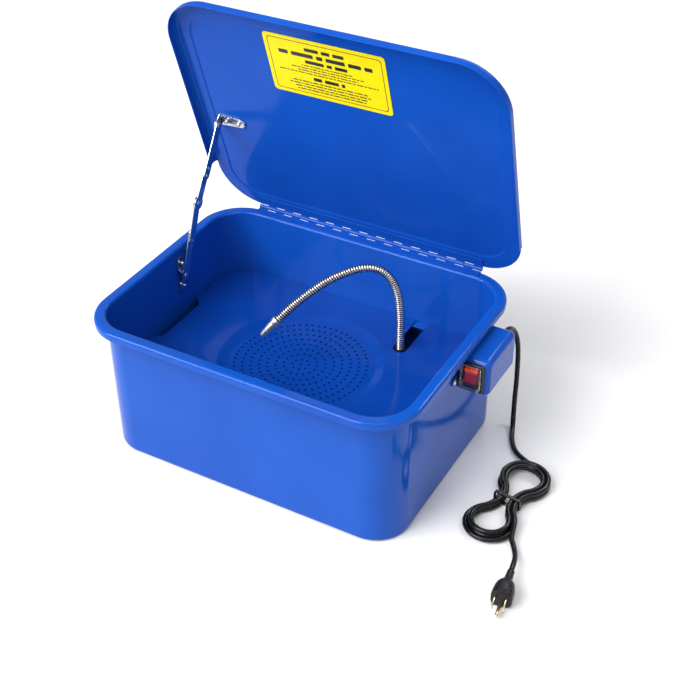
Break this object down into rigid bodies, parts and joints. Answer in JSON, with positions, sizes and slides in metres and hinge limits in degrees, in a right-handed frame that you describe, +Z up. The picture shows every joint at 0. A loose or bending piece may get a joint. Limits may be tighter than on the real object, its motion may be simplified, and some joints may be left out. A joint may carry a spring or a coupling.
{
  "type": "parts washer tank",
  "caption": "Bench-top steel parts washer: open tank with a hinged lid on a folding stay, drilled parts tray, bendable spout on a submerged pump, and a rocker switch box with mains cord.",
  "frame": {"origin": "centre of the tank's flat underside", "axes": "+X to the right seen from the front, the switch box side; +Y to the back, the hinge side; +Z up. The lid stands open at rest."},
  "size_m": [0.5854, 0.3601, 0.5195],
  "materials": {
    "blue_enamel": "gloss baked enamel with slight orange peel",
    "zinc": "bright zinc plate",
    "chrome": "bright plated steel",
    "black_rubber": "satin black",
    "black_plastic": "fine moulded texture",
    "red_lens": "gloss, tinted",
    "clear_vinyl": "clear flexible vinyl",
    "yellow_label": "printed vinyl sticker",
    "brass": "plain brass",
    "pump_plastic": "moulded, matt",
    "impeller_plastic": "natural moulded"
  },
  "bodies": {
    "tank": {"tank_shell": "blue_enamel", "tray_ledge_front": "blue_enamel", "tray_ledge_back": "blue_enamel", "hinge_leaf_tank": "blue_enamel", "hinge_pin": "zinc", "stay_low_pivot_rivet": "zinc", "stay_bracket_tank": "zinc", "tank_bracket_rivet_1": "zinc", "tank_bracket_rivet_2": "zinc", "spout_coupling": "black_rubber", "pump_housing": "pump_plastic", "pump_intake_cover": "pump_plastic", "pump_foot_1": "black_rubber", "pump_foot_2": "black_rubber", "pump_foot_3": "black_rubber", "pump_foot_4": "black_rubber", "outlet_tube": "clear_vinyl", "outlet_tube_clamp": "zinc", "pump_lead": "black_rubber", "pump_lead_grommet": "black_rubber", "switch_box_cover": "blue_enamel", "box_screw_1": "zinc", "box_screw_2": "zinc", "switch_body": "black_plastic", "switch_boot": "clear_vinyl", "terminal_block": "black_plastic", "cord_strain_relief": "black_rubber", "cord_drop": "black_rubber", "cord_hank": "black_rubber", "cord_tie": "black_plastic", "cord_tail": "black_rubber", "plug_body": "black_rubber", "plug_blade_left": "brass", "plug_blade_right": "brass", "plug_ground_pin": "brass"},
    "lid": {"lid_panel": "blue_enamel", "hinge_leaf_lid": "blue_enamel", "lid_label": "yellow_label", "stay_bracket_lid": "zinc", "lid_bracket_rivet_1": "zinc", "lid_bracket_rivet_2": "zinc", "stay_top_pivot_rivet": "zinc"},
    "stay_lower": {"stay_lower_strip_bottom": "zinc", "stay_lower_strip_top": "zinc", "stay_lower_arm_rivet": "zinc", "elbow_rivet_head": "zinc"},
    "stay_upper": {"stay_upper_strip_bottom": "zinc", "stay_upper_strip_top": "zinc", "fusible_link_rivet_1": "brass", "fusible_link_rivet_2": "brass", "elbow_rivet_tail": "zinc"},
    "spout_base": {"spout_foot": "chrome", "spout_bend": "chrome"},
    "spout": {"spout_arch": "chrome", "spout_nozzle": "chrome"},
    "tray": {"parts_tray": "blue_enamel"},
    "rocker": {"switch_rocker": "red_lens"},
    "impeller": {"pump_impeller": "impeller_plastic", "pump_shaft": "zinc"}
  },
  "joints": [
    {"name": "lid_hinge", "type": "hinge", "parent": "tank", "child": "lid", "pos_m": [0, 0.1675, 0.1961], "axis": [-1, 0, 0], "range_deg": [-74, 0]},
    {"name": "stay_lower_pivot", "type": "hinge", "parent": "tank", "child": "stay_lower", "pos_m": [-0.1965, 0.029, 0.154], "axis": [1, 0, 0], "range_deg": [0, 118.3]},
    {"name": "stay_upper_pivot", "type": "hinge", "parent": "lid", "child": "stay_upper", "pos_m": [-0.1906, 0.12014, 0.3322], "axis": [1, 0, 0], "range_deg": [-106.6, 0]},
    {"name": "spout_swivel", "type": "hinge", "parent": "tank", "child": "spout_base", "pos_m": [0.0925, 0.0855, 0.1], "axis": [0, 0, 1], "range_deg": [-45, 80]},
    {"name": "spout_lean", "type": "hinge", "parent": "spout_base", "child": "spout", "pos_m": [0.0925, 0.0855, 0.118], "axis": [0.7869, 0.617, 0], "range_deg": [0, 54.5], "deforming": ["spout_bend"]},
    {"name": "tray_lift", "type": "slide", "parent": "tank", "child": "tray", "axis": [0, 0, 1], "range_m": [0, 0.03]},
    {"name": "rocker_tilt", "type": "hinge", "parent": "tank", "child": "rocker", "pos_m": [0.2238, 0.0155, 0.1543], "axis": [1, 0, 0], "range_deg": [0, 16]},
    {"name": "impeller_spin", "type": "hinge", "parent": "tank", "child": "impeller", "pos_m": [0.0925, 0.03, 0.03], "axis": [0, 1, 0], "continuous": true}
  ],
  "couplings": [
    {"joint": "stay_lower_pivot", "follows": "lid_hinge", "ratio": -1.5914},
    {"joint": "stay_upper_pivot", "follows": "lid_hinge", "ratio": 1.4336},
    {"joint": "spout_lean", "follows": "lid_hinge", "ratio": -0.72973}
  ]
}
